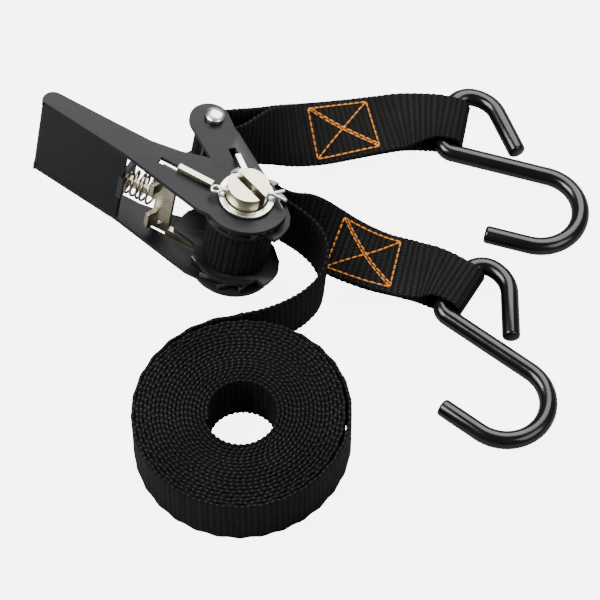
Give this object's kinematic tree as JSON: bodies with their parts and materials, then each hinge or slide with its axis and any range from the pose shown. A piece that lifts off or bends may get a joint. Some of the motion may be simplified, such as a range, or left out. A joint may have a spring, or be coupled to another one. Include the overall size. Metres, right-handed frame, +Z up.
{
  "type": "ratchet strap",
  "caption": "Black tie-down strap with a ratchet buckle, a short hooked strap, a long hooked strap and its free length wound in a flat coil.",
  "frame": {"origin": "middle of the footprint of the laid-out strap, at the surface that it lies on", "axes": "+Z up from the table, +X from the ratchet's handle towards the hooks, +Y from the coil towards the short strap"},
  "size_m": [0.2206, 0.2026, 0.0596],
  "materials": {
    "black_paint": "satin black paint on pressed steel",
    "hook_coating": "glossy black dipped coating on a steel wire hook",
    "webbing": "woven black polyester webbing",
    "stitching": "orange sewing thread",
    "zinc": "bright zinc plating",
    "yellow_zinc": "pale yellow zinc plating",
    "spring_steel": "brown oiled spring wire"
  },
  "bodies": {
    "frame": {"frame": "black_paint", "anchor_bolt": "zinc", "anchor_nut": "zinc", "anchor_sleeve": "zinc", "lock_spring": "spring_steel", "short_strap": "webbing", "long_strap": "webbing", "strap_tail": "webbing", "strap_coil": "webbing"},
    "handle": {"handle": "black_paint", "drive_spring": "spring_steel"},
    "drive_pawl": {"drive_pawl": "yellow_zinc"},
    "lock_pawl": {"lock_pawl": "zinc"},
    "spool": {"spool_half_a": "yellow_zinc", "spool_half_b": "yellow_zinc", "ratchet_wheel_upper": "zinc", "ratchet_wheel_lower": "zinc", "washer_upper": "zinc", "washer_lower": "zinc", "cotter_pin_upper": "zinc", "cotter_pin_lower": "zinc", "strap_roll": "webbing"},
    "short_hook": {"short_strap_hook": "hook_coating"},
    "long_hook": {"long_strap_hook": "hook_coating"}
  },
  "joints": [
    {"name": "handle_hinge", "type": "hinge", "parent": "frame", "child": "handle", "pos_m": [-0.02835, 0.01844, 0.03], "axis": [0.1498, 0.0798, 0.9855], "range_deg": [-30, 60]},
    {"name": "spool_spin", "type": "hinge", "parent": "frame", "child": "spool", "pos_m": [-0.02835, 0.01844, 0.03], "axis": [0.1498, 0.0798, 0.9855], "continuous": true},
    {"name": "drive_pawl_slide", "type": "slide", "parent": "handle", "child": "drive_pawl", "axis": [-0.8734, 0.4779, 0.0941], "range_m": [0, 0.006], "stiffness_N_per_m": 300, "springref_m": -0.004, "deforming": ["drive_spring"]},
    {"name": "lock_pawl_slide", "type": "slide", "parent": "frame", "child": "lock_pawl", "axis": [-0.3696, 0.929, -0.0191], "range_m": [0, 0.004], "stiffness_N_per_m": 300, "springref_m": -0.004, "deforming": ["lock_spring"]},
    {"name": "short_hook_swing", "type": "hinge", "parent": "frame", "child": "short_hook", "pos_m": [0.05447, 0.08416, 0.00625], "axis": [-0.2079, -0.9782, 0], "range_deg": [0, 60]},
    {"name": "long_hook_swing", "type": "hinge", "parent": "frame", "child": "long_hook", "pos_m": [0.05596, 0.00732, 0.00625], "axis": [-0.5592, -0.8291, 0], "range_deg": [0, 60]}
  ]
}
